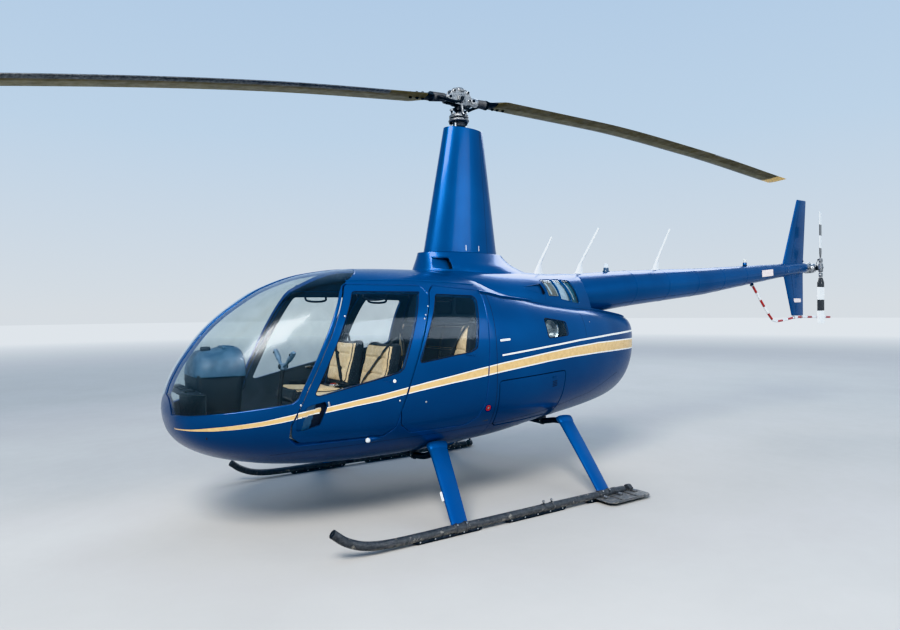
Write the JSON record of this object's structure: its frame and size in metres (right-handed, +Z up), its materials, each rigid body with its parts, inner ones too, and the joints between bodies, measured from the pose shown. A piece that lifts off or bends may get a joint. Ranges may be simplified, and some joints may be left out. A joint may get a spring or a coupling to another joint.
{
  "type": "light turbine helicopter",
  "caption": "Light enclosed-cabin helicopter parked on skids: two-blade main and tail rotors, tall mast fairing, slim tail cone, four cabin doors and a baggage door.",
  "frame": {"origin": "centre of the whole object's box, on the ground under the skids", "axes": "+X forward through the nose, +Y to the aircraft's left, +Z up"},
  "size_m": [11.4602, 2.64, 3.478],
  "materials": {
    "paint": "metallic gloss, deep blue",
    "glass": "clear acrylic",
    "cabin_trim": "grained, dark grey",
    "dark_metal": "satin, worn",
    "bare_metal": "satin, cast and machined",
    "seat": "tan leather, stitched",
    "blade": "matt olive brown",
    "tail_blade": "gloss black and white bands",
    "white_plastic": "gloss white",
    "guard": "gloss white with red bands"
  },
  "bodies": {
    "airframe": {"lower_fuselage": "paint", "cabin_frame": "paint", "windshield_left": "glass", "windshield_right": "glass", "cabin_floor": "cabin_trim", "rear_bulkhead": "cabin_trim", "aft_fuselage": "paint", "engine_block": "bare_metal", "exhaust_pipe": "bare_metal", "upper_cowling": "paint", "mast_base_fairing": "paint", "mast_fairing": "paint", "tail_cone": "paint", "tail_fin": "paint", "horizontal_stabilizer": "paint", "tail_gearbox": "bare_metal", "tail_guard": "guard", "swashplate_fixed": "bare_metal", "front_cross_tube": "paint", "rear_cross_tube": "paint", "skid_left": "dark_metal", "skid_right": "dark_metal", "antenna_front": "white_plastic", "antenna_middle": "white_plastic", "antenna_rear": "white_plastic", "front_seat_cushion_left": "seat", "front_seat_back_left": "seat", "front_seat_cushion_right": "seat", "front_seat_back_right": "seat", "rear_seat_cushion": "seat", "rear_seat_back": "seat", "instrument_console": "cabin_trim", "cyclic_stick": "dark_metal"},
    "main_rotor": {"main_rotor_hub": "bare_metal", "main_blade_fore": "blade", "main_blade_aft": "blade", "swashplate_rotating": "bare_metal"},
    "tail_rotor": {"tail_rotor_hub": "bare_metal", "tail_blade_upper": "tail_blade", "tail_blade_lower": "tail_blade"},
    "front_door_left_body": {"front_door_left": "paint", "front_door_left_pane": "glass"},
    "front_door_right_body": {"front_door_right": "paint", "front_door_right_pane": "glass"},
    "rear_door_left_body": {"rear_door_left": "paint", "rear_door_left_pane": "glass"},
    "rear_door_right_body": {"rear_door_right": "paint", "rear_door_right_pane": "glass"},
    "baggage_door_body": {"baggage_door": "paint"}
  },
  "joints": [
    {"name": "main_rotor_spin", "type": "hinge", "parent": "airframe", "child": "main_rotor", "pos_m": [0.72, 0, 3.367], "axis": [0, 0, 1], "continuous": true},
    {"name": "tail_rotor_spin", "type": "hinge", "parent": "airframe", "child": "tail_rotor", "pos_m": [-5.162, 0.165, 2.045], "axis": [0, -1, 0], "continuous": true},
    {"name": "front_door_left_hinge", "type": "hinge", "parent": "airframe", "child": "front_door_left_body", "pos_m": [2.338, 0.718, 1.15], "axis": [0.426, -0.0499, -0.9034], "range_deg": [0, 80]},
    {"name": "front_door_right_hinge", "type": "hinge", "parent": "airframe", "child": "front_door_right_body", "pos_m": [2.338, -0.718, 1.15], "axis": [-0.426, -0.0499, 0.9034], "range_deg": [0, 80]},
    {"name": "rear_door_left_hinge", "type": "hinge", "parent": "airframe", "child": "rear_door_left_body", "pos_m": [1.63, 0.745, 1.091], "axis": [0.337, 0.04, -0.9406], "range_deg": [0, 80]},
    {"name": "rear_door_right_hinge", "type": "hinge", "parent": "airframe", "child": "rear_door_right_body", "pos_m": [1.63, -0.745, 1.091], "axis": [-0.337, 0.04, 0.9406], "range_deg": [0, 80]},
    {"name": "baggage_door_hinge", "type": "hinge", "parent": "airframe", "child": "baggage_door_body", "pos_m": [0.84, 0.722, 0.8], "axis": [0, 0, -1], "range_deg": [0, 95]}
  ],
  "couplings": [
    {"joint": "tail_rotor_spin", "follows": "main_rotor_spin", "ratio": 5.8}
  ]
}
